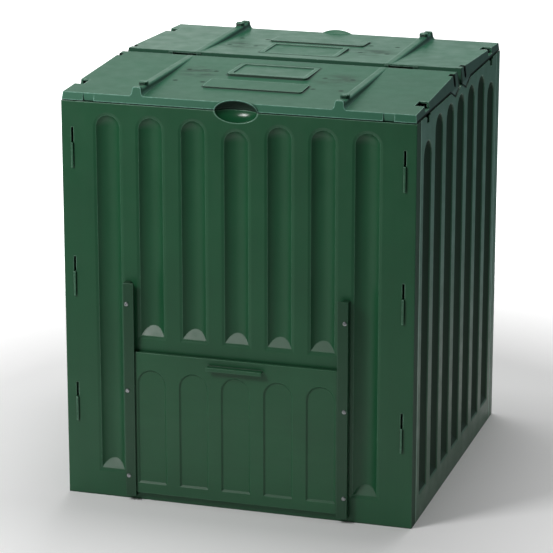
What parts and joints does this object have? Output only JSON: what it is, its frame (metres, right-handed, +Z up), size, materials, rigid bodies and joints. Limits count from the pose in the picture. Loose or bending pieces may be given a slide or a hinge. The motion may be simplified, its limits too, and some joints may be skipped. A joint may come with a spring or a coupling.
{
  "type": "compost bin",
  "caption": "Square moulded-plastic compost bin with arched fluted walls, sloping lids hinged back to back at the ridge, and sliding hatches at the foot for taking out compost.",
  "frame": {"origin": "centre of the bin's footprint at ground level", "axes": "+Z up, +Y towards the rear, +X to the right as seen from the front"},
  "size_m": [0.82, 0.874, 0.974],
  "materials": {
    "wall": "satin moss green",
    "lid": "satin moss green",
    "beam": "satin moss green",
    "pin": "zinc plated",
    "hatch": "satin moss green",
    "rail": "satin dark green"
  },
  "bodies": {
    "bin": {"front_wall": "wall", "rear_wall": "wall", "left_wall": "wall", "right_wall": "wall", "ridge_beam": "beam", "front_lid_pin_left": "pin", "front_lid_pin_right": "pin", "rear_lid_pin_left": "pin", "rear_lid_pin_right": "pin", "front_rail_left": "rail", "front_rail_right": "rail", "rear_rail_left": "rail", "rear_rail_right": "rail"},
    "front_lid": {"front_lid": "lid"},
    "rear_lid": {"rear_lid": "lid"},
    "front_hatch": {"front_hatch": "hatch"},
    "rear_hatch": {"rear_hatch": "hatch"}
  },
  "joints": [
    {"name": "front_lid_hinge", "type": "hinge", "parent": "bin", "child": "front_lid", "pos_m": [0, -0.024, 0.945], "axis": [-1, 0, 0], "range_deg": [0, 88]},
    {"name": "rear_lid_hinge", "type": "hinge", "parent": "bin", "child": "rear_lid", "pos_m": [0, 0.024, 0.945], "axis": [1, 0, 0], "range_deg": [0, 88]},
    {"name": "front_hatch_slide", "type": "slide", "parent": "bin", "child": "front_hatch", "axis": [0, 0, 1], "range_m": [0, 0.3]},
    {"name": "rear_hatch_slide", "type": "slide", "parent": "bin", "child": "rear_hatch", "axis": [0, 0, 1], "range_m": [0, 0.3]}
  ]
}
